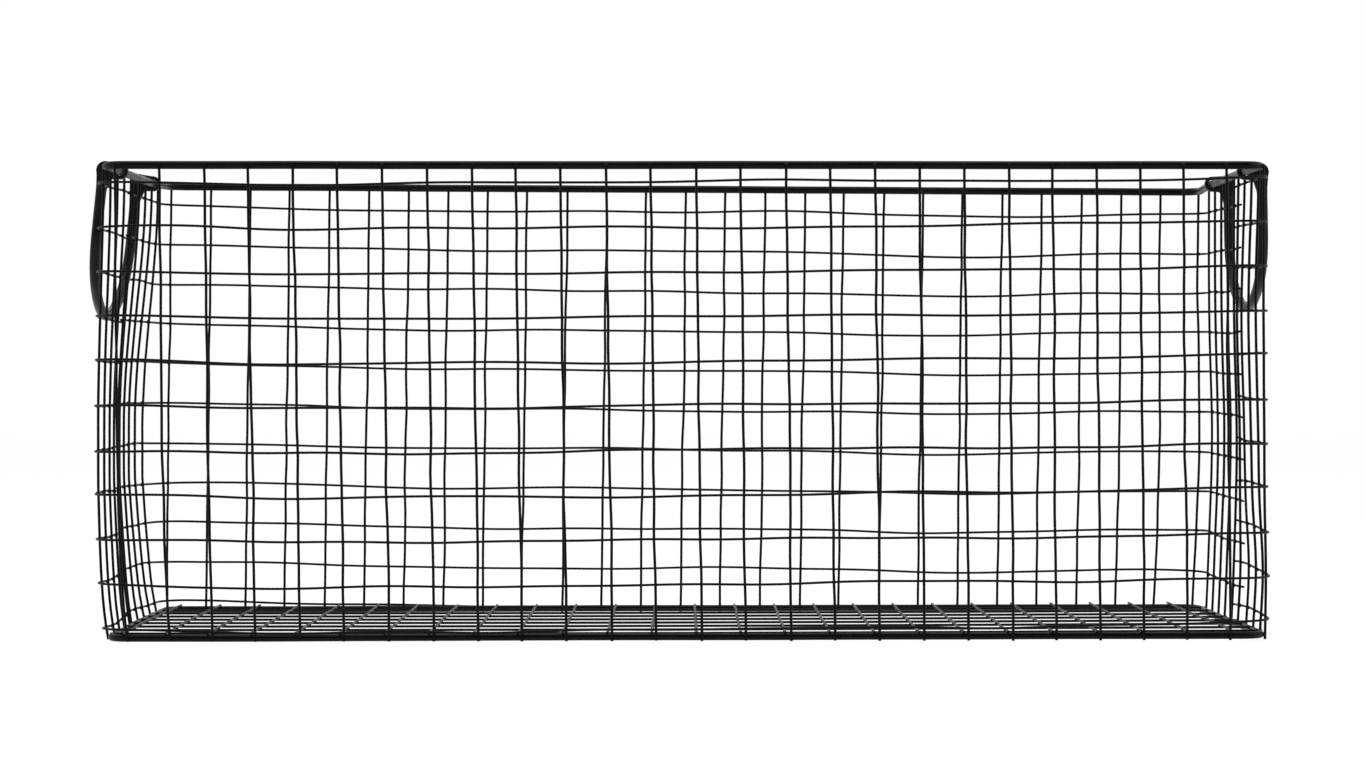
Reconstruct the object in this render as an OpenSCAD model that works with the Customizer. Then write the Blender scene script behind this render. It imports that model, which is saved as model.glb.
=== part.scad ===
// Wire storage basket: a rod frame, two welded mesh panels bent round it, a mesh
// floor and two bail handles that swing on the side rods of the rim.
// Millimetres. X is the width, Y the depth, Z is up; the origin is on the floor
// under the middle of the basket.

/* [Frame] */
// Outside width of the rod frame
frame_width = 666; // [500:1:900]
// Outside depth of the rod frame
frame_depth = 258; // [220:1:340]
// Height of the top of the rim above the floor
frame_height = 274.4; // [200:0.2:400]
// Outside bend radius of the frame's corners
frame_corner_r = 14; // [12:0.5:25]
// Diameter of the rim rod
rim_rod_d = 4.6; // [4:0.1:6]
// Diameter of the bottom rod
base_rod_d = 4; // [3:0.1:6]

/* [Mesh panels] */
// Distance between neighbouring uprights
upright_pitch = 25.4; // [20:0.1:32]
// Diameter of the upright wires
upright_d = 1.5; // [1:0.1:2.5]
// Diameter of the horizontal hoop wires
hoop_d = 1.3; // [1:0.1:2.5]
// How far the front panel's middle upright sits to the right of centre
front_shift = 5.2; // [-8:0.1:8]
// How far the back panel's middle upright sits to the right of centre
back_shift = 1.4; // [-8:0.1:8]
// Drop from the rim's axis to the front panel's top hoop
front_hoop_drop = 8.7; // [8:0.1:14]
// Height of the front panel's lowest hoop above the floor
front_hoop_low = 7.4; // [7:0.1:12]
// How much lower the back panel's hoops lie than the front panel's
hoop_step = 5.1; // [3:0.1:12]
// Depth at which the two panels meet, from the front of the frame
panel_meet = 126; // [110:1:150]
// Length of hoop wire past the last upright that it is welded to
hoop_tail = 3; // [1:0.5:6]
// Length of the uprights' cut ends below the bottom rod
foot_reach = 1; // [0.5:0.1:3]
// Height of the uprights' cut ends above the rim's axis
top_reach = 1; // [0:0.1:2]

/* [Floor panel] */
// Diameter of the floor wires
floor_wire_d = 1.4; // [1:0.1:2.5]
// Distance between neighbouring floor wires
floor_pitch = 25.4; // [20:0.1:32]
// How far the floor's middle cross wire sits to the right of centre
floor_shift = 7.6; // [-8:0.1:8]
// Gap between the floor wires' ends and the uprights
floor_end_gap = 0.3; // [0.1:0.1:1]

/* [Handles] */
// Diameter of the handle bar
bar_d = 6.4; // [5:0.1:8]
// Distance between the two arms of a handle
bar_span = 127.8; // [110:0.1:140]
// Drop from the rim's axis to the middle of the bar at the bottom of the loop
bar_drop = 83; // [75:1:110]
// Radius of the tighter bends at the two sides of the loop
bar_bend_r = 37; // [28:0.5:42]
// Gap between the bar and the hoops when the handle hangs straight down
bar_gap = 1.8; // [1.5:0.1:4]
// Angle at which the left handle rests, outwards from straight down
left_lean = 6; // [0:0.5:8]
// Angle at which the right handle rests, outwards from straight down
right_lean = 1; // [0:0.5:8]
// Thickness of the flattened ends
eye_thick = 4; // [3:0.1:5]
// Width of metal left round the bore of an eye
eye_wall = 2.2; // [1.5:0.1:2.4]
// Radial clearance between the eye and the rim rod
eye_clear = 0.3; // [0.15:0.05:0.5]
// Radius of the rounded shoulder beside the eye
shoulder_r = 5.5; // [4.8:0.1:5.8]
// How far the shoulder's middle lies inside the bar's axis
shoulder_in = 1.4; // [0.5:0.1:2.5]
// Drop from the rim's axis to the shoulder's middle
shoulder_drop = 0.2; // [0:0.1:1.5]
// Drop from the rim's axis to the top of the round arm
arm_drop = 10; // [9:0.5:14]
// How far the flattened end runs down inside the round arm
plate_run = 2; // [1:0.5:4]

/* [Hidden] */
FRONT_HOOPS = 11;
BACK_HOOPS = 10;
function two_digits(n) = str(n < 10 ? "0" : "", n);

BLACK = "#1c1b1a";
WIRE_BLACK = "#242321";
ROD_FACETS = 48;
WIRE_FACETS = 24;

half_width = frame_width / 2;
half_depth = frame_depth / 2;
rim_z = frame_height - rim_rod_d / 2;
base_z = foot_reach + base_rod_d / 2;
rim_axis_x = half_width - rim_rod_d / 2;

// the wires lie outside the frame in two layers: uprights first, then hoops
upright_out = upright_d / 2;
hoop_out = upright_d + hoop_d / 2;
hoop_pitch = (rim_z - front_hoop_drop - front_hoop_low) / (FRONT_HOOPS - 1);

// Panel geometry. A panel is a flat mesh bent into a U; a place on it is given
// by its distance from the middle of the long wall, measured along the bend of
// the layer of uprights, so that the pitch runs on round the corners.
wall_straight = half_width - frame_corner_r;
layer_r = frame_corner_r + upright_out;
bend_length = PI / 2 * layer_r;
side_start = frame_corner_r;

// depth from the frame's outer face, and x, of the upright at the distance s
function upright_x(s) =
    abs(s) <= wall_straight ? s
    : abs(s) <= wall_straight + bend_length
        ? sign(s) * (wall_straight + layer_r * sin(bend_angle(s)))
        : sign(s) * (half_width + upright_out);
function upright_depth(s) =
    abs(s) <= wall_straight ? -upright_out
    : abs(s) <= wall_straight + bend_length
        ? frame_corner_r - layer_r * cos(bend_angle(s))
        : side_start + abs(s) - wall_straight - bend_length;
function bend_angle(s) = (abs(s) - wall_straight) / layer_r * 180 / PI;

// distances of a panel's uprights: along the wall, or round one bend and on
steps = ceil((half_width + frame_depth) / upright_pitch);
function wall_places(shift) =
    [for (k = [-steps:steps]) let (s = shift + k * upright_pitch) if (abs(s) <= wall_straight) s];
function side_places(shift, side, depth_limit) =
    [for (k = [-steps:steps]) let (s = shift + k * upright_pitch)
        if (side * s > wall_straight && upright_depth(s) <= depth_limit) s];

// where the panels meet on one side (-1 left, 1 right): the front panel's last
// upright, and the back panel's first one behind it, both from the front
function last_front(side) =
    max([for (s = side_places(front_shift, side, panel_meet)) upright_depth(s)]);
function first_back(side) =
    frame_depth - max([for (s = back_side_places(side)) upright_depth(s)]);
function back_side_places(side) =
    side_places(back_shift, side, frame_depth - last_front(side) - 2 * upright_d);

// Handle geometry. The bar hangs outside the hoops; its ends are flattened and
// bored for the rim rod. A handle slides along the rod until both of its eyes
// stand well clear of the uprights.
bar_out = rim_rod_d / 2 + upright_d + hoop_d + bar_gap + bar_d / 2;
eye_bore_r = rim_rod_d / 2 + eye_clear;
eye_r = eye_bore_r + eye_wall;
shoulder = [bar_out - shoulder_in, -shoulder_drop];
neck = [bar_out, -arm_drop - plate_run];
// necks and cores stay inside the bar and webs inside their lobes, so that round
// faces cut each other cleanly and never only touch
INNER_SHARE = 0.95;
WEB_SHARE = 0.97;
CORE_LENGTH = 2;
neck_r = INNER_SHARE * bar_d / 2;

// The lower part of a loop is a bend with three centres. The bends meet on lines
// that slope 4 in 3, so every centre and radius is a whole number of bow steps
// away from the next; the step is rounded so that the ends meet exactly.
bow_step = round((bar_span / 2 - bar_bend_r) / 3 * 100) / 100;
arm_y = bar_bend_r + 3 * bow_step;
bow_r = bar_bend_r + 5 * bow_step;
bow_centre = 4 * bow_step;
bow_height = bar_bend_r + bow_step;

function bay_miss(depth, upright_at) =
    let (bays = (depth - upright_at) / upright_pitch - 0.5) (bays - round(bays)) * upright_pitch;
function wrapped(miss) = miss - round(miss / upright_pitch) * upright_pitch;
function handle_depth(side) =
    let (front_miss = bay_miss(half_depth - arm_y, last_front(side)))
    let (back_miss = bay_miss(half_depth + arm_y, first_back(side)))
    half_depth - front_miss - wrapped(back_miss - front_miss) / 2;

// a round bar along X or Y, centred, with its axis through the origin
module bar_x(length, d, facets) {
    rotate([0, 90, 0]) cylinder(h = length, d = d, center = true, $fn = facets);
}
module bar_y(length, d, facets) {
    rotate([90, 0, 0]) cylinder(h = length, d = d, center = true, $fn = facets);
}

// a quarter bend of round bar, from the direction +X to +Y
module quarter_bend(r, d, facets) {
    rotate_extrude(angle = 90, $fn = 2 * facets) translate([r, 0]) circle(d = d, $fn = facets);
}

// A ring of rod whose outer faces are the frame's. Its straight lengths and its
// corner bends are separate nodes, so that each one's convex hull follows the
// rod and leaves the open top clear.
module ring_rods(d) {
    for (side = [-1, 1]) {
        translate([0, side * (half_depth - d / 2), 0]) bar_x(2 * wall_straight, d, ROD_FACETS);
        translate([side * (half_width - d / 2), 0, 0])
            bar_y(frame_depth - 2 * frame_corner_r, d, ROD_FACETS);
    }
}

module ring_corners(d) {
    for (turn = [0:3]) {
        sx = turn == 0 || turn == 3 ? 1 : -1;
        sy = turn < 2 ? 1 : -1;
        translate([sx * wall_straight, sy * (half_depth - frame_corner_r), 0])
            rotate([0, 0, 90 * turn]) quarter_bend(frame_corner_r - d / 2, d, ROD_FACETS);
    }
}

module top_rim_rods() {
    color(BLACK) translate([0, 0, rim_z]) ring_rods(rim_rod_d);
}

module top_rim_corners() {
    color(BLACK) translate([0, 0, rim_z]) ring_corners(rim_rod_d);
}

module bottom_rim_rods() {
    color(BLACK) translate([0, 0, base_z]) ring_rods(base_rod_d);
}

module bottom_rim_corners() {
    color(BLACK) translate([0, 0, base_z]) ring_corners(base_rod_d);
}

// a row of uprights at the given distances along a panel; the front panel's
// depth runs from the front of the frame, the back panel's from the back
module upright_row(places, face) {
    color(WIRE_BLACK) for (s = places)
        translate([upright_x(s), face * (half_depth - upright_depth(s)), 0])
            cylinder(h = rim_z + top_reach, d = upright_d, $fn = WIRE_FACETS);
}

module front_uprights() upright_row(wall_places(front_shift), -1);
module back_uprights() upright_row(wall_places(back_shift), 1);
module left_front_uprights() upright_row(side_places(front_shift, -1, panel_meet), -1);
module right_front_uprights() upright_row(side_places(front_shift, 1, panel_meet), -1);
module left_back_uprights() upright_row(back_side_places(-1), 1);
module right_back_uprights() upright_row(back_side_places(1), 1);

// one hoop: a U of wire along the wall, round both corners and along the sides
// to the given depths, modelled for the front wall
module hoop(left_end, right_end) {
    translate([0, -half_depth - hoop_out, 0]) bar_x(2 * wall_straight, hoop_d, WIRE_FACETS);
    for (side = [-1, 1]) {
        run = (side < 0 ? left_end : right_end) - side_start;
        translate([side * wall_straight, -half_depth + side_start, 0])
            rotate([0, 0, side < 0 ? 180 : 270])
                quarter_bend(frame_corner_r + hoop_out, hoop_d, WIRE_FACETS);
        translate([side * (half_width + hoop_out), -half_depth + side_start, 0])
            rotate([-90, 0, 0]) cylinder(h = run, d = hoop_d, $fn = WIRE_FACETS);
    }
}

// each panel's hoops run on to the end upright of the other panel
module front_hoop(n) {
    color(WIRE_BLACK) translate([0, 0, rim_z - front_hoop_drop - (n - 1) * hoop_pitch])
        hoop(first_back(-1) + hoop_tail, first_back(1) + hoop_tail);
}

module back_hoop(n) {
    color(WIRE_BLACK)
        translate([0, 0, rim_z - front_hoop_drop - hoop_step - (n - 1) * hoop_pitch])
            rotate([0, 0, 180])
                hoop(frame_depth - last_front(1) + hoop_tail, frame_depth - last_front(-1) + hoop_tail);
}

// the floor is a flat mesh: long wires lie on the side rods, cross wires on them
module floor_long_wires() {
    rows = floor((half_depth - base_rod_d) / floor_pitch - 0.5);
    length = frame_width - 2 * floor_end_gap;
    color(WIRE_BLACK) for (k = [-rows - 0.5:rows + 0.5])
        translate([0, k * floor_pitch, base_z + base_rod_d / 2 + floor_wire_d / 2])
            bar_x(length, floor_wire_d, WIRE_FACETS);
}

module floor_cross_wires() {
    columns = ceil(half_width / floor_pitch);
    edge = half_width - base_rod_d;
    length = frame_depth - 2 * floor_end_gap;
    color(WIRE_BLACK) for (k = [-columns:columns]) {
        x = floor_shift + k * floor_pitch;
        if (abs(x) <= edge)
            translate([x, 0, base_z + base_rod_d / 2 + floor_wire_d * 3 / 2])
                bar_y(length, floor_wire_d, WIRE_FACETS);
    }
}

// the flattened ends of the arms are plates made of round lobes and the webs
// between them, drawn in the plane across the rim rod with X pointing outwards
module lobe(at, r) {
    translate([at[0], at[1], 0])
        cylinder(h = eye_thick, r = r, center = true, $fn = ROD_FACETS);
}

module web(a, ra, b, rb) {
    along = (b - a) / norm(b - a);
    across = WEB_SHARE * [-along[1], along[0]];
    linear_extrude(height = eye_thick, center = true)
        polygon([a + ra * across, b + rb * across, b - rb * across, a - ra * across]);
}

module eye_plate() {
    rotate([90, 0, 0]) difference() {
        union() {
            lobe([0, 0], eye_r);
            web([0, 0], eye_r, shoulder, shoulder_r);
            lobe(shoulder, shoulder_r);
            web(shoulder, shoulder_r, neck, neck_r);
            lobe(neck, neck_r);
        }
        cylinder(h = 2 * eye_thick, r = eye_bore_r, center = true, $fn = ROD_FACETS);
    }
}

// a bend of bar in the plane of the loop: the part of a ring inside a polygon
// of (y, z) points, some of whose sides run through the ring's centre
module bar_bend(centre, r, points) {
    rotate([90, 0, 90]) intersection() {
        translate(centre) rotate_extrude($fn = 2 * ROD_FACETS)
            translate([r, 0]) circle(d = bar_d, $fn = ROD_FACETS);
        linear_extrude(height = 2 * bar_d, center = true) polygon(points);
    }
}

// a handle hanging straight down outside the right-hand side, its pivot at the origin
module hanging_handle() {
    arm = bar_drop - bow_height - arm_drop;
    for (end = [-1, 1]) {
        translate([0, end * arm_y, 0]) eye_plate();
        translate([bar_out, end * arm_y, -arm_drop]) {
            sphere(d = bar_d, $fn = ROD_FACETS);
            translate([0, 0, -arm]) cylinder(h = arm, d = bar_d, $fn = ROD_FACETS);
        }
    }
    translate([bar_out, 0, -(bar_drop - bow_height)]) {
        bend_y = 3 * bow_step;
        meet = [bend_y, 0] + bar_bend_r / 5 * [3, -4];
        far = 2 * bow_r;
        for (end = [0, 1]) mirror([0, end, 0]) {
            bar_bend([bend_y, 0], bar_bend_r,
                [[bend_y, 0], [bend_y + 3 * far, -4 * far], [bend_y + 3 * far, 0]]);
            // a short core inside both bends ties them together
            translate([0, meet[0], meet[1]]) rotate([atan2(3, 4), 0, 0])
                bar_y(CORE_LENGTH, INNER_SHARE * bar_d, ROD_FACETS);
        }
        bar_bend([0, bow_centre], bow_r,
            [[0, bow_centre], [-3 * far, bow_centre - 4 * far], [3 * far, bow_centre - 4 * far]]);
    }
}

module handle(side, lean) {
    translate([side * rim_axis_x, handle_depth(side) - half_depth, rim_z])
        rotate([0, -side * lean, 0])
            rotate([0, 0, side < 0 ? 180 : 0]) hanging_handle();
}

module left_handle() {
    color(BLACK) handle(-1, left_lean);
}

module right_handle() {
    color(BLACK) handle(1, right_lean);
}

top_rim_rods();
top_rim_corners();
bottom_rim_rods();
bottom_rim_corners();
front_uprights();
back_uprights();
left_front_uprights();
right_front_uprights();
left_back_uprights();
right_back_uprights();
floor_long_wires();
floor_cross_wires();
left_handle();
right_handle();
for (n = [1:FRONT_HOOPS])
    front_hoop(n);
for (n = [1:BACK_HOOPS])
    back_hoop(n);
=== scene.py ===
import math
import random

import bpy
from mathutils import Matrix, Vector


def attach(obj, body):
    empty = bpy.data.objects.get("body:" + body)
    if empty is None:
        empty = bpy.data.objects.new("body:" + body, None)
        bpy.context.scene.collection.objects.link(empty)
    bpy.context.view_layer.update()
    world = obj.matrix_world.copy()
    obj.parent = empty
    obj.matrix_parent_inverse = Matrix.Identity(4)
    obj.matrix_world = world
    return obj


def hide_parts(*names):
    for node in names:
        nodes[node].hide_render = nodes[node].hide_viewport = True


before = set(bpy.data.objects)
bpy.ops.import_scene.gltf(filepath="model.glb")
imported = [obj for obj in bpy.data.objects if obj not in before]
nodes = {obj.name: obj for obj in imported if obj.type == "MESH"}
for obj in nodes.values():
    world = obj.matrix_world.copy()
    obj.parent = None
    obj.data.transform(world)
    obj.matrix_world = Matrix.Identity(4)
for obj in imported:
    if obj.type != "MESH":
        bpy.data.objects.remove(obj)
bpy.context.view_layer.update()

mm = 0.001
chance = random.Random(7)
bpy.context.scene.view_settings.view_transform = "Standard"
print("frame loaded,", len(nodes), "nodes")


# The camera looks straight on, at about half the basket's height.
camera = {"place": (0.0, -2.140, 0.1469), "tilt": 90, "lens": 93.0, "sensor": 36, "farthest": 50}

bpy.ops.object.camera_add(location=camera["place"],
                          rotation=(math.radians(camera["tilt"]), 0, 0))
viewCamera = bpy.context.object
viewCamera.data.lens = camera["lens"]
viewCamera.data.sensor_width = camera["sensor"]
viewCamera.data.clip_end = camera["farthest"]
viewCamera.data.dof.use_dof = False
bpy.context.scene.camera = viewCamera


# Materials. Everything on the basket is black enamel over steel.
def linear(hexColour):
    parts = [int(hexColour[i:i + 2], 16) / 255 for i in (1, 3, 5)]
    return [c / 12.92 if c <= 0.04045 else ((c + 0.055) / 1.055) ** 2.4 for c in parts] + [1]


def addNode(tree, kind, values=None, links=None, **settings):
    node = tree.nodes.new(kind)
    for name, value in settings.items():
        setattr(node, name, value)
    for socket, value in (values or {}).items():
        node.inputs[socket].default_value = value
    for socket, source in (links or {}).items():
        tree.links.new(source, node.inputs[socket])
    return node


def newMaterial(name):
    material = bpy.data.materials.new(name)
    material.use_nodes = True
    material.node_tree.nodes.clear()
    return material, material.node_tree


# What all the enamel has in common. The ranges are those parts of the noise in which
# the tone turns from film to dust and the gloss from low to high.
enamel = {"ior": 1.45, "toneRange": (0.36, 0.68), "glossRange": (0.3, 0.7),
          "patchDetail": 4.0, "peelDetail": 2.0, "peelDepth": 0.4 * mm}


# Sprayed and baked enamel on steel: a dark film with a soft gloss. It lies in a
# faint orange peel, and dust and thin spots make the tone a little uneven.
def sprayedEnamel(name, look):
    material, tree = newMaterial(name)
    place = addNode(tree, "ShaderNodeTexCoord").outputs["Object"]
    patches = addNode(tree, "ShaderNodeTexNoise",
                      {"Scale": look["patchScale"], "Detail": enamel["patchDetail"]},
                      {"Vector": place})
    tone = addNode(tree, "ShaderNodeMapRange",
                   {"From Min": enamel["toneRange"][0], "From Max": enamel["toneRange"][1]},
                   {"Value": patches.outputs["Fac"]})
    colour = addNode(tree, "ShaderNodeMix", None, {"Factor": tone.outputs["Result"]},
                     data_type="RGBA")
    colour.inputs["A"].default_value = linear(look["film"])
    colour.inputs["B"].default_value = linear(look["dusty"])
    gloss = addNode(tree, "ShaderNodeMapRange",
                    {"From Min": enamel["glossRange"][0], "From Max": enamel["glossRange"][1],
                     "To Min": look["roughLow"], "To Max": look["roughHigh"]},
                    {"Value": patches.outputs["Fac"]})
    peel = addNode(tree, "ShaderNodeTexNoise",
                   {"Scale": look["peelScale"], "Detail": enamel["peelDetail"]},
                   {"Vector": place})
    relief = addNode(tree, "ShaderNodeBump",
                     {"Strength": look["peel"], "Distance": enamel["peelDepth"]},
                     {"Height": peel.outputs["Fac"]})
    shader = addNode(tree, "ShaderNodeBsdfPrincipled",
                     {"IOR": enamel["ior"], "Specular IOR Level": look["sheen"]},
                     {"Base Color": colour.outputs["Result"],
                      "Roughness": gloss.outputs["Result"],
                      "Normal": relief.outputs["Normal"]})
    addNode(tree, "ShaderNodeOutputMaterial", None, {"Surface": shader.outputs["BSDF"]})
    return material


# Orange peel on real enamel is under 1 mm across; it is drawn 2.5 mm wide to show.
rodEnamel = sprayedEnamel("sprayedEnamelRod", {
    "film": "#070706", "dusty": "#0f0e0d", "patchScale": 45, "roughLow": 0.30,
    "roughHigh": 0.44, "peelScale": 400, "peel": 0.25, "sheen": 0.12})
# The thin wire takes the film in runs and beads, so it is less glossy and less even.
wireEnamel = sprayedEnamel("sprayedEnamelWire", {
    "film": "#060605", "dusty": "#0f0e0c", "patchScale": 70, "roughLow": 0.36,
    "roughHigh": 0.52, "peelScale": 600, "peel": 0.35, "sheen": 0.12})
# Hands polish the handle bars, so they are a little glossier than the rods; their tone is also a
# little paler.
handleEnamel = sprayedEnamel("handledEnamelBar", {
    "film": "#0a0908", "dusty": "#191714", "patchScale": 55, "roughLow": 0.28,
    "roughHigh": 0.42, "peelScale": 350, "peel": 0.3, "sheen": 0.18})
# Spot welds squeeze the wire bare, so the enamel over them is rough and greyer.
weldEnamel = sprayedEnamel("enamelOverSpotWeld", {
    "film": "#0f0e0d", "dusty": "#24221f", "patchScale": 220, "roughLow": 0.4,
    "roughHigh": 0.6, "peelScale": 900, "peel": 0.5, "sheen": 0.2})
print("materials ready")


# The mesh panels. Their wires are drawn along the same panels as the solids: a place
# is given by its distance s from the middle of the long wall and its height above the
# floor. All lengths are in mm.
basket = {"halfWidth": 333, "halfDepth": 129, "cornerR": 14, "rimZ": 272.1, "baseZ": 3,
          "pitch": 25.4, "panelMeet": 126, "coat": 0.06}
# Each upright stands a little off its place, by up to offset either way. Its foot
# ends up to footRange above the floor, and higher where the bottom ring is high.
upright = {"wire": 1.5, "weld": 2.1, "rodWeldOut": 0.1, "steps": 34, "offset": 0.4,
           "footRange": 0.5, "footRoll": 0.6, "topRange": (0.2, 1.0)}
hoop = {"wire": 1.3, "pitch": 25.45, "tail": 3, "lowest": 2.0, "steps": 110, "turnSteps": 12}
straight = basket["halfWidth"] - basket["cornerR"]
layerR = basket["cornerR"] + upright["wire"] / 2
bendLength = math.pi / 2 * layerR
uprightOut = upright["wire"] / 2
hoopOut = upright["wire"] + hoop["wire"] / 2

# The panels were bent by hand, so nothing on them is quite true. Drift moves all of a
# panel's uprights to the right, bow those near bowAt, and pull draws those near the
# right corner back to the left. The leans move their feet along the panel at its left
# and right end. The tilts are how much the hoops rise from left to right, at the top
# and at the floor. Lift moves the hoops all along, dip near dipAt. The ends are more
# rises: how much, towards which side (1 is right), from where and over what length.
panels = {
    "front": {"face": -1, "shift": 5.2, "drift": 1.1, "driftRight": 0.0, "pull": 1.6,
              "bow": 1.6, "bowAt": 120, "bowWide": 150, "leanLeft": 4.4, "leanRight": 2.1,
              "uprightWave": 0.45, "hoopWave": 0.8, "topHoop": 263.4, "hoops": 11,
              "tiltTop": 4.2, "tiltLow": 6.0, "lift": -1.35,
              "dip": 0.0, "dipAt": 0, "dipWide": 70,
              "ends": ((1.1, 1, 230, 100), (2.6, -1, 225, 100), (1.5, 1, 330, 120))},
    "back": {"face": 1, "shift": 1.4, "drift": 0.5, "driftRight": 0.7, "pull": 0.0,
             "bow": 0.0, "bowAt": 0, "bowWide": 100, "leanLeft": -3.4, "leanRight": -3.6,
             "uprightWave": 0.45, "hoopWave": 0.7, "topHoop": 258.3, "hoops": 11,
             "tiltTop": -2.4, "tiltLow": -2.8, "lift": -0.5,
             "dip": -2.4, "dipAt": 178, "dipWide": 70,
             "ends": ((3.2, -1, 150, 180), (-1.3, 1, 330, 120))}}
pullFrom, pullOver = 250, 70
tiltReach = 1.15  # the tilts go on round the corners, to this share of the half width

# How the side walls stray. The strays set in towards the sides of the basket, and the
# right wall's differ between its front and its back. It is pushed in at the front and
# out at the back, but at the floor it is out at the front (foot) and in at the back
# (heel). Each stray is given at its worst height z, or at the floor, from where it
# fades upwards.
walls = {
    "from": 240, "over": 90, "frontTo": 140, "frontOver": 60, "cornerOver": 40,
    "leftFoot": {"size": 3.6, "fade": 26, "to": 130, "over": 110},
    "rightFoot": {"size": 2.4, "z": 38, "high": 32, "atCorner": 0.25},
    "rightIn": {"size": 2.2, "z": 190, "high": 60},
    "rightOut": {"size": 2.2, "z": 110, "high": 60},
    "rightHeel": {"size": 1.6, "fade": 30}}

# The mesh of the left wall bulges between the two rods that hold it: by size at its
# front corner, then by front and by back more. It is held by the rim at the top, by
# the bottom ring and by the back corner.
bulging = {"size": 1, "front": 2.0, "frontOver": 25, "back": 7.4, "backFrom": 20, "backOver": 180,
           "cornerTo": 257, "cornerOver": 33, "topOver": 150, "footFrom": 4, "footOver": 86,
           "footPower": 0.6}


def hump(value, middle, width):
    return math.exp(-((value - middle) / width) ** 2)


def clamp(value, low, high):
    return min(high, max(low, value))


def ease(value):
    value = clamp(value, 0.0, 1.0)
    return value * value * (3 - 2 * value)


def wallShare(distance):
    return ease((distance - walls["from"]) / walls["over"])


def worstAtHeight(stray, z):
    return stray["size"] * hump(z, stray["z"], stray["high"])


def worstAtFloor(stray, z):
    return stray["size"] * math.exp(-z / stray["fade"])


# how far the side walls stray to the right at a place in the plan
def strayOf(x, y, z):
    depth = y + basket["halfDepth"]
    leftFoot = walls["leftFoot"]
    left = worstAtFloor(leftFoot, z) * ease((leftFoot["to"] - depth) / leftFoot["over"])
    front = ease((walls["frontTo"] - depth) / walls["frontOver"])
    soft = ease(depth / walls["cornerOver"])  # the corner itself gives less
    footShare = walls["rightFoot"]["atCorner"] + (1 - walls["rightFoot"]["atCorner"]) * soft
    right = front * (worstAtHeight(walls["rightFoot"], z) * footShare
                     - worstAtHeight(walls["rightIn"], z) * soft)
    right += (1 - front) * (worstAtHeight(walls["rightOut"], z)
                            - worstAtFloor(walls["rightHeel"], z))
    return wallShare(-x) * left + wallShare(x) * right


def bulge(x, y, z):
    depth = y + basket["halfDepth"]
    size = bulging["size"] + bulging["front"] * ease(depth / bulging["frontOver"])
    size += bulging["back"] * ease((depth - bulging["backFrom"]) / bulging["backOver"])
    size *= ease((bulging["cornerTo"] - depth) / bulging["cornerOver"])
    low = clamp((z - bulging["footFrom"]) / bulging["footOver"], 0, 1)
    height = ease((basket["rimZ"] - z) / bulging["topOver"]) * low ** bulging["footPower"]
    return -wallShare(-x) * size * height


def settle(x, y, z):
    return Vector((x + strayOf(x, y, z), y, z)) * mm


# how far a place on a side wall lies behind its own panel's face, and back
def depthOf(s):
    return abs(s) - straight - bendLength + basket["cornerR"]


def endOf(depth):
    return depth - basket["cornerR"] + straight + bendLength


# the point of a panel at the distance s and height z, so far outside the frame
def panelPoint(panel, s, z, out):
    turn = (abs(s) - straight) / layerR
    side = 1 if s > 0 else -1
    if turn <= 0:
        x, y = s, basket["halfDepth"] + out
    elif turn <= math.pi / 2:
        x = side * (straight + (basket["cornerR"] + out) * math.sin(turn))
        y = basket["halfDepth"] - basket["cornerR"] + (basket["cornerR"] + out) * math.cos(turn)
    else:
        x = side * (basket["halfWidth"] + out)
        y = basket["halfDepth"] - depthOf(s)
    y *= panel["face"]
    return settle(x + bulge(x, y, z), y, z)


# A wire strays in waves, of this many half turns over its length and this share of
# the stray.
waveShares = {1: 0.35, 2: 0.4, 3: 0.5, 5: 0.6, 9: 0.45, 14: 0.3}


# a smooth stray of about this size over a wire of this length
def wave(size, length):
    parts = [(chance.uniform(0.5, 1.0) * size * share,
              halfTurns * math.pi / length * chance.uniform(0.8, 1.2),
              chance.uniform(0, 2 * math.pi))
             for halfTurns, share in waveShares.items()]
    return lambda t: sum(high * math.sin(pace * t + start) for high, pace, start in parts)


# how far an upright stands to the right of its place in the flat mesh
def lean(panel, s, z):
    across = s / basket["halfWidth"]
    foot = panel["leanLeft"] + (panel["leanRight"] - panel["leanLeft"]) * ease((across + 1) / 2)
    slide = panel["drift"] + panel["driftRight"] * across
    slide += panel["bow"] * hump(s, panel["bowAt"], panel["bowWide"])
    slide -= panel["pull"] * ease((s - pullFrom) / pullOver)
    return slide + foot * (1 - z / basket["rimZ"])


# how far a hoop's wire lies above its place in the flat mesh
def rise(panel, s, z):
    tilt = panel["tiltTop"] + (panel["tiltLow"] - panel["tiltTop"]) * (1 - z / basket["rimZ"])
    slope = tilt * clamp(s / basket["halfWidth"], -tiltReach, tiltReach) / 2
    ends = sum(much * ease((side * s - start) / over) for much, side, start, over in panel["ends"])
    return slope + panel["lift"] + panel["dip"] * hump(s, panel["dipAt"], panel["dipWide"]) + ends


# The bottom ring and the floor on it are rolled by this much, lower on the left.
rollAtSide = 0.9


def roll(x):
    return rollAtSide * clamp(x / basket["halfWidth"], -1, 1)


# Drawing wires and welds.
def deselect():
    bpy.ops.object.select_all(action="DESELECT")


def makeOnly(thing):
    deselect()
    thing.select_set(True)
    bpy.context.view_layer.objects.active = thing


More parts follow.
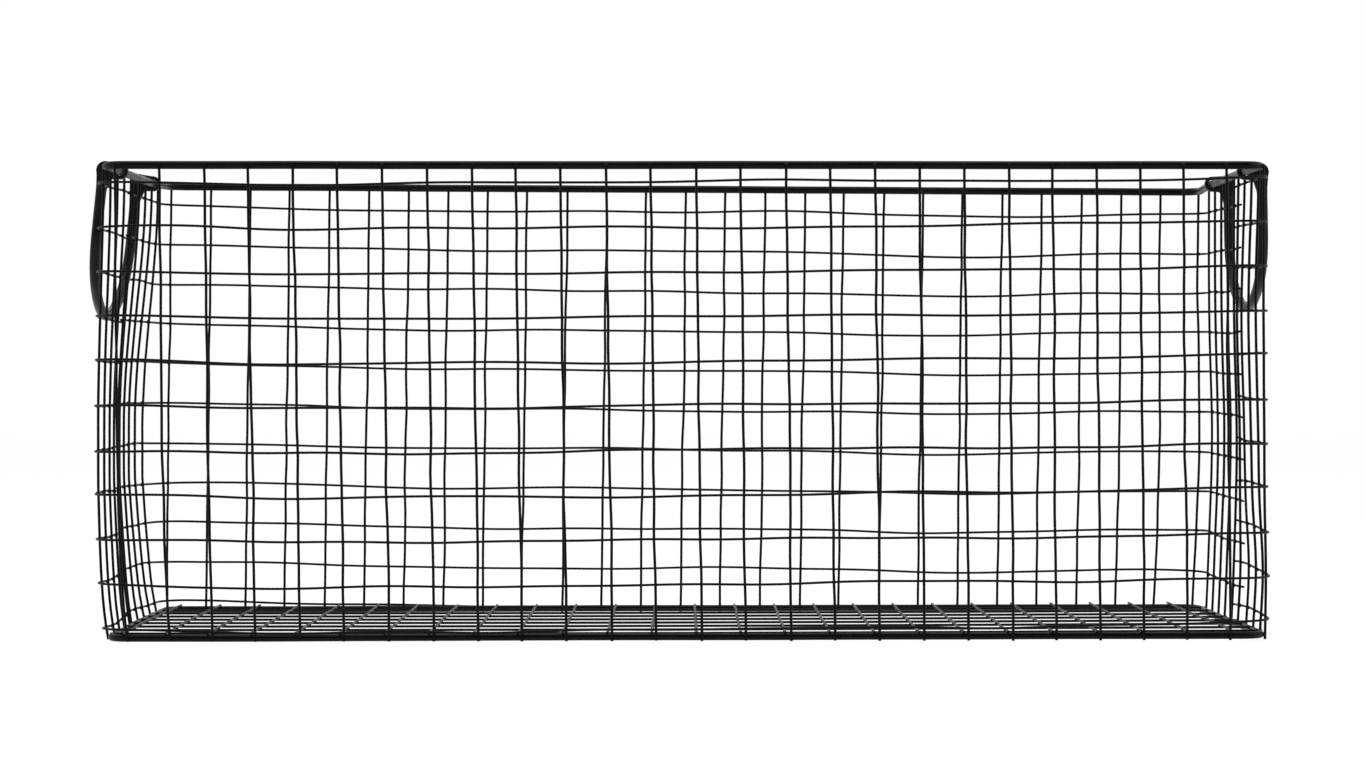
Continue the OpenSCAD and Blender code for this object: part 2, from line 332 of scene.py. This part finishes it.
# draws each line of points as a round wire with its coat of enamel; all are one mesh
def wires(name, lines, diameter, roundness=2, closed=False):
    deselect()
    bpy.ops.curve.primitive_nurbs_path_add()
    drawn = bpy.context.object
    drawn.name = name
    curve = drawn.data
    curve.splines.clear()
    curve.dimensions = "3D"
    curve.bevel_depth = (diameter / 2 + basket["coat"]) * mm
    curve.bevel_resolution = roundness
    curve.use_fill_caps = True
    for line in lines:
        spline = curve.splines.new("POLY")
        spline.points.add(len(line) - 1)
        for point, place in zip(spline.points, line):
            point.co = (*place, 1)
        spline.use_cyclic_u = closed
    bpy.ops.object.convert(target="MESH")
    drawn = bpy.context.object
    bpy.ops.object.mode_set(mode="EDIT")
    bpy.ops.mesh.select_all(action="SELECT")
    bpy.ops.mesh.remove_doubles(threshold=0.01 * mm)
    bpy.ops.mesh.normals_make_consistent(inside=False)
    bpy.ops.object.mode_set(mode="OBJECT")
    bpy.ops.object.shade_smooth_by_angle(angle=math.radians(50))
    return drawn


# The spot welds are squeezed beads, no two quite of one size.
bead = {"segments": 8, "rings": 5, "squeeze": 0.8, "smallest": 0.85, "largest": 1.2}


# One bead is shaped and a copy of it is set at each crossing; places are pairs of a
# point and the way outwards.
def welds(name, places, size):
    deselect()
    bpy.ops.mesh.primitive_uv_sphere_add(segments=bead["segments"], ring_count=bead["rings"],
                                         radius=size / 2 * mm)
    pattern = bpy.context.object
    bpy.ops.object.mode_set(mode="EDIT")
    bpy.ops.mesh.select_all(action="SELECT")
    bpy.ops.transform.resize(value=(1, 1, bead["squeeze"]))
    bpy.ops.object.mode_set(mode="OBJECT")
    bpy.ops.object.shade_smooth()
    beads = []
    for point, outwards in places:
        copied = bpy.data.objects.new(name, pattern.data.copy())
        turn = outwards.to_track_quat("Z", "Y").to_matrix().to_4x4()
        grown = Matrix.Scale(chance.uniform(bead["smallest"], bead["largest"]), 4)
        copied.data.transform(Matrix.Translation(point) @ turn @ grown)
        bpy.context.scene.collection.objects.link(copied)
        beads.append(copied)
    bpy.data.objects.remove(pattern)
    makeOnly(beads[0])
    for copied in beads:
        copied.select_set(True)
    bpy.ops.object.join()
    return bpy.context.object


def finishPiece(piece, material, slot, body, *replaced):
    if not piece.data.materials:
        piece.data.materials.append(material)
    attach(piece, body)
    if replaced:
        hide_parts(*replaced)


# the wires of a piece and its welds become one mesh with two materials
def weldUp(wire, beads):
    wire.data.materials.append(wireEnamel)
    beads.data.materials.append(weldEnamel)
    makeOnly(wire)
    beads.select_set(True)
    bpy.ops.object.join()
    return wire


# The rods: rim and bottom ring. The back corners of a ring stand this much higher or
# lower than the front ones.
rods = {
    "rimRing": {"nodes": ("top_rim_rods", "top_rim_corners"), "z": 272.1, "diameter": 4.6,
                "backLeft": 1.8, "backRight": -1.6, "rolled": 0, "lowest": 270},
    "bottomRing": {"nodes": ("bottom_rim_rods", "bottom_rim_corners"), "z": 3.0, "diameter": 4.0,
                   "backLeft": 0.4, "backRight": 0.0, "rolled": 1, "lowest": 2.1}}
# A rod stays true where the handles hang, and is twisted only from there to the back.
ringDraw = {"step": 22, "turnSteps": 12, "wave": 0.1, "waveLength": 600, "roundness": 6,
            "twistFrom": 62, "twistOver": 64}


def ringPoints(diameter):
    inner = basket["cornerR"] - diameter / 2
    corners = ((1, -1, -90), (1, 1, 0), (-1, 1, 90), (-1, -1, 180))
    turns = []
    for sideX, sideY, start in corners:
        for step in range(ringDraw["turnSteps"] + 1):
            angle = math.radians(start + 90 * step / ringDraw["turnSteps"])
            turns.append((sideX * straight + inner * math.cos(angle),
                          sideY * (basket["halfDepth"] - basket["cornerR"])
                          + inner * math.sin(angle)))
    ring = []
    for here, there in zip(turns, turns[1:] + turns[:1]):
        pieces = max(1, round(math.dist(here, there) / ringDraw["step"]))
        ring += [(here[0] + (there[0] - here[0]) * i / pieces,
                  here[1] + (there[1] - here[1]) * i / pieces) for i in range(pieces)]
    return ring


for name, look in rods.items():
    stray = wave(ringDraw["wave"], ringDraw["waveLength"])
    points = []
    for x, y in ringPoints(look["diameter"]):
        back = ease((y - ringDraw["twistFrom"]) / ringDraw["twistOver"])
        side = x / basket["halfWidth"]
        corner = look["backLeft"] * (1 - side) / 2 + look["backRight"] * (1 + side) / 2
        z = look["z"] + look["rolled"] * roll(x) + back * corner + stray(x)
        points.append(settle(x, y, max(look["lowest"], z)))
    ring = wires(name, [points], look["diameter"], roundness=ringDraw["roundness"], closed=True)
    finishPiece(ring, rodEnamel, "rod", "basket", *look["nodes"])
print("rods drawn")


# The uprights and hoops of the two mesh panels. Each panel's uprights stop where the
# other's begin, and its hoops run on to the other's end upright.
def placesUpTo(panel, lastLeft, lastRight):
    places = [panel["shift"] + k * basket["pitch"] for k in range(-20, 21)]
    return [s for s in places if depthOf(s) <= (lastRight if s > 0 else lastLeft)]


def reachOf(places):
    return [max(depthOf(s) for s in places if side * s > 0) for side in (-1, 1)]


# the row of an upright: 0 on its panel's face, -1 on the left wall, 1 on the right
def rowOf(s):
    if abs(s) <= straight:
        return 0
    return 1 if s > 0 else -1


deep = 2 * basket["halfDepth"]
places = {"front": placesUpTo(panels["front"], basket["panelMeet"], basket["panelMeet"])}
frontReach = reachOf(places["front"])
places["back"] = placesUpTo(panels["back"], *[deep - reach - 2 * upright["wire"]
                                              for reach in frontReach])
backReach = reachOf(places["back"])
hoopReach = {"front": [deep - reach + hoop["tail"] for reach in backReach],
             "back": [deep - reach + hoop["tail"] for reach in frontReach]}
rowNodes = {("front", 0): "front_uprights", ("front", -1): "left_front_uprights",
            ("front", 1): "right_front_uprights", ("back", 0): "back_uprights",
            ("back", -1): "left_back_uprights", ("back", 1): "right_back_uprights"}


def drawPanel(name, panel):
    levels = [panel["topHoop"] - hoop["pitch"] * n for n in range(panel["hoops"])]
    strays = [wave(panel["hoopWave"], 2 * basket["halfWidth"]) for level in levels]

    def hoopHeight(n, s):
        return max(hoop["lowest"], levels[n] + rise(panel, s, levels[n]) + strays[n](s))

    for row in (-1, 0, 1):
        lines, crossings = [], []
        for s in places[name]:
            if rowOf(s) != row:
                continue
            stray = wave(panel["uprightWave"], basket["rimZ"])
            offset = chance.uniform(-upright["offset"], upright["offset"])
            foot = chance.uniform(0, upright["footRange"])
            foot += upright["footRoll"] * (rollAtSide + roll(s))
            top = basket["rimZ"] + chance.uniform(*upright["topRange"])

            # held by the rods at both ends, free to stray between them
            def standAt(z):
                free = math.sin(math.pi * clamp(z / basket["rimZ"], 0, 1)) ** 0.5
                return s + lean(panel, s, z) + offset + free * stray(z)

            zs = [foot + (top - foot) * i / upright["steps"] for i in range(upright["steps"] + 1)]
            lines.append([panelPoint(panel, standAt(z), z, uprightOut) for z in zs])

            # a weld sits between an upright and a hoop, or between an upright and a rod
            heights = [hoopHeight(n, s) for n in range(panel["hoops"])]
            for z in heights + [basket["baseZ"] + roll(s), basket["rimZ"]]:
                out = upright["wire"] if z in heights else upright["rodWeldOut"]
                middle = panelPoint(panel, standAt(z), z, out)
                farOut = panelPoint(panel, standAt(z), z, 10)
                crossings.append((middle, farOut - middle))
        node = rowNodes[(name, row)]
        piece = weldUp(wires(node + "_wires", lines, upright["wire"]),
                       welds(node + "_welds", crossings, upright["weld"]))
        finishPiece(piece, wireEnamel, "mesh_wire", "basket", node)

    first, last = -endOf(hoopReach[name][0]), endOf(hoopReach[name][1])
    stops = {first + (last - first) * i / hoop["steps"] for i in range(hoop["steps"] + 1)}
    # more points where the wire turns the corners
    stops |= {side * (straight + bendLength * i / hoop["turnSteps"])
              for side in (-1, 1) for i in range(hoop["turnSteps"] + 1)}
    for n in range(panel["hoops"]):
        line = [panelPoint(panel, s, hoopHeight(n, s), hoopOut) for s in sorted(stops)]
        node = "%s_hoop_%02d" % (name, n + 1)
        # the lowest back hoop has no solid of its own and only rides along
        finishPiece(wires(node + "_wire", [line], hoop["wire"]), wireEnamel, "mesh_wire",
                    "basket", *([node] if node in nodes else []))


for name, panel in panels.items():
    drawPanel(name, panel)
    print(name, "panel drawn")


# The floor mesh. The long wires lie on the rods and are sunk into them by their
# welds, and the cross wires lie on the long ones.
floorMesh = {"wire": 1.4, "weld": 1.9, "sag": 0.5, "gap": 0.4, "sunk": 1.2, "wave": 0.35,
             "steps": 40, "crossShift": 7.6, "crossPitch": 25.4, "edge": 4,
             "longFirst": -111, "longPitch": 30, "longCount": 8}
ringTop = basket["baseZ"] + rods["bottomRing"]["diameter"] / 2
longZ = ringTop + floorMesh["wire"] / 2 - floorMesh["sunk"]
crossZ = longZ + floorMesh["wire"]


# how high a floor wire of this nominal height lies at a place
def floorZ(x, z):
    sag = floorMesh["sag"] * math.sin(math.pi * (x / basket["halfWidth"] + 1) / 2)
    return z + roll(x) - sag


# a floor wire along X, where along is 1, or along Y, with a small stray to the side
def floorRun(start, end, z, along):
    length = math.dist(start, end)
    stray = wave(floorMesh["wave"], length)
    line = []
    for i in range(floorMesh["steps"] + 1):
        t = i / floorMesh["steps"]
        x, y = start[0] + (end[0] - start[0]) * t, start[1] + (end[1] - start[1]) * t
        push = math.sin(math.pi * t) ** 0.5 * stray(t * length)
        line.append(settle(x + push * (1 - along), y + push * along, floorZ(x, z)))
    return line


longY = [floorMesh["longFirst"] + k * floorMesh["longPitch"]
         for k in range(floorMesh["longCount"])]
crossX = [floorMesh["crossShift"] + k * floorMesh["crossPitch"] for k in range(-14, 14)]
crossX = [x for x in crossX if abs(x) <= basket["halfWidth"] - floorMesh["edge"]]
endX = basket["halfWidth"] - floorMesh["gap"]
endY = basket["halfDepth"] - floorMesh["gap"]
longRuns = [floorRun((-endX, y), (endX, y), longZ, 1) for y in longY]
finishPiece(wires("floor_long_run", longRuns, floorMesh["wire"]), wireEnamel, "mesh_wire",
            "basket", "floor_long_wires")
crossRuns = [floorRun((x, -endY), (x, endY), crossZ, 0) for x in crossX]
knots = [(settle(x, y, floorZ(x, (longZ + crossZ) / 2)), Vector((0, 0, 1)))
         for x in crossX for y in longY]
crossWires = weldUp(wires("floor_cross_run", crossRuns, floorMesh["wire"]),
                    welds("floor_welds", knots, floorMesh["weld"]))
finishPiece(crossWires, wireEnamel, "mesh_wire", "basket", "floor_cross_wires")
print("floor drawn")


# The handles: bars with flattened, pierced ends. The ends were hammered flat while
# hot, so nothing on them has a sharp edge. The two bars aren't bent equally deep:
# below the straight top they are longer by their stretch.
handleLook = {"voxel": 0.55, "smoothing": 9, "strength": 0.5, "straightTop": 24,
              "stretch": {"left": 1.03, "right": 0.93}}

for side in ("left", "right"):
    node = side + "_handle"
    bar = nodes[node].copy()
    bar.data = bar.data.copy()
    for tag in list(bar.keys()):
        del bar[tag]
    bar.parent = None
    bar.name = side + "_bail"
    bpy.context.scene.collection.objects.link(bar)
    bar.data.materials.clear()
    makeOnly(bar)
    bpy.ops.object.mode_set(mode="EDIT")
    bpy.ops.mesh.select_all(action="SELECT")
    bpy.ops.mesh.remove_doubles(threshold=0.001 * mm)
    bpy.ops.object.mode_set(mode="OBJECT")
    remesh = bar.modifiers.new("forge", "REMESH")
    remesh.mode = "VOXEL"
    remesh.voxel_size = handleLook["voxel"] * mm
    soften = bar.modifiers.new("soften", "SMOOTH")
    soften.factor = handleLook["strength"]
    soften.iterations = handleLook["smoothing"]
    bpy.ops.object.modifier_apply(modifier=remesh.name)
    bpy.ops.object.modifier_apply(modifier=soften.name)
    bend = max(vertex.co.z for vertex in bar.data.vertices) - handleLook["straightTop"] * mm
    for vertex in bar.data.vertices:
        if vertex.co.z < bend:
            vertex.co.z = bend + (vertex.co.z - bend) * handleLook["stretch"][side]
    bpy.ops.object.shade_smooth()
    finishPiece(bar, handleEnamel, "handle_bar", side + "_handle", node)
print("handles forged")


# Floor, backdrop and light. For the camera and in reflections the floor and the room
# are plain white, as on a product table; the diffuse part keeps a trace of the
# basket's shadow. The room is white behind and above the basket and dark behind the
# camera, where the backdrop ends.
studio = {"floor": "#f4f4f2", "own": 0.22, "glow": 0.87, "tableSize": 12,
          "tablePlace": (0, 1.5, -0.0002), "room": 0.55, "dark": 0.03, "white": 1.0,
          "darkTo": -0.55, "whiteFrom": 0.25}

bpy.ops.mesh.primitive_plane_add(size=studio["tableSize"], location=studio["tablePlace"])
table = bpy.context.object
table.name = "studioTable"
tableWhite, tree = newMaterial("whiteTable")
ray = addNode(tree, "ShaderNodeLightPath").outputs
seen = addNode(tree, "ShaderNodeMath", None, {0: ray["Is Camera Ray"], 1: ray["Is Glossy Ray"]},
               operation="MAXIMUM")
plain = addNode(tree, "ShaderNodeBsdfDiffuse", {"Color": linear(studio["floor"])})
own = addNode(tree, "ShaderNodeBsdfDiffuse",
              {"Color": (studio["own"], studio["own"], studio["own"], 1)})
glow = addNode(tree, "ShaderNodeEmission", {"Color": (1, 1, 1, 1), "Strength": studio["glow"]})
white = addNode(tree, "ShaderNodeAddShader", None, {0: own.outputs[0], 1: glow.outputs[0]})
mixed = addNode(tree, "ShaderNodeMixShader", None,
                {0: seen.outputs[0], 1: plain.outputs[0], 2: white.outputs[0]})
addNode(tree, "ShaderNodeOutputMaterial", None, {"Surface": mixed.outputs[0]})
table.data.materials.append(tableWhite)

world = bpy.data.worlds.new("whiteRoom")
bpy.context.scene.world = world
world.use_nodes = True
tree = world.node_tree
tree.nodes.clear()
ray = addNode(tree, "ShaderNodeLightPath").outputs
direction = addNode(tree, "ShaderNodeTexCoord").outputs["Generated"]
parts = addNode(tree, "ShaderNodeSeparateXYZ", None, {"Vector": direction}).outputs
behind = addNode(tree, "ShaderNodeMapRange",
                 {"From Min": studio["darkTo"], "From Max": studio["whiteFrom"],
                  "To Min": studio["dark"], "To Max": studio["white"]},
                 {"Value": parts["Y"]}, interpolation_type="SMOOTHSTEP")
roomLight = addNode(tree, "ShaderNodeBackground",
                    {"Color": (1, 1, 1, 1), "Strength": studio["room"]})
mirrored = addNode(tree, "ShaderNodeBackground", {"Color": (1, 1, 1, 1)},
                   {"Strength": behind.outputs["Result"]})
whiteWall = addNode(tree, "ShaderNodeBackground",
                    {"Color": (1, 1, 1, 1), "Strength": studio["white"]})
glossy = addNode(tree, "ShaderNodeMixShader", None,
                 {0: ray["Is Glossy Ray"], 1: roomLight.outputs[0], 2: mirrored.outputs[0]})
final = addNode(tree, "ShaderNodeMixShader", None,
                {0: ray["Is Camera Ray"], 1: glossy.outputs[0], 2: whiteWall.outputs[0]})
addNode(tree, "ShaderNodeOutputWorld", None, {"Surface": final.outputs[0]})

lamps = {
    "overhead": {"place": (0.0, -0.3, 1.9), "aim": (0, 0, 0.15), "size": 1.6, "power": 16},
    "frontLeft": {"place": (-1.7, -1.3, 1.3), "aim": (0, 0, 0.15), "size": 1.2, "power": 9},
    "right": {"place": (1.9, -0.6, 1.1), "aim": (0, 0, 0.15), "size": 1.2, "power": 7}}
for name, lamp in lamps.items():
    bpy.ops.object.light_add(type="AREA", location=lamp["place"])
    light = bpy.context.object
    light.name = name
    light.data.shape = "SQUARE"
    light.data.size = lamp["size"]
    light.data.energy = lamp["power"]
    gaze = Vector(lamp["aim"]) - Vector(lamp["place"])
    light.rotation_euler = gaze.to_track_quat("-Z", "Y").to_euler()
print("studio lit")
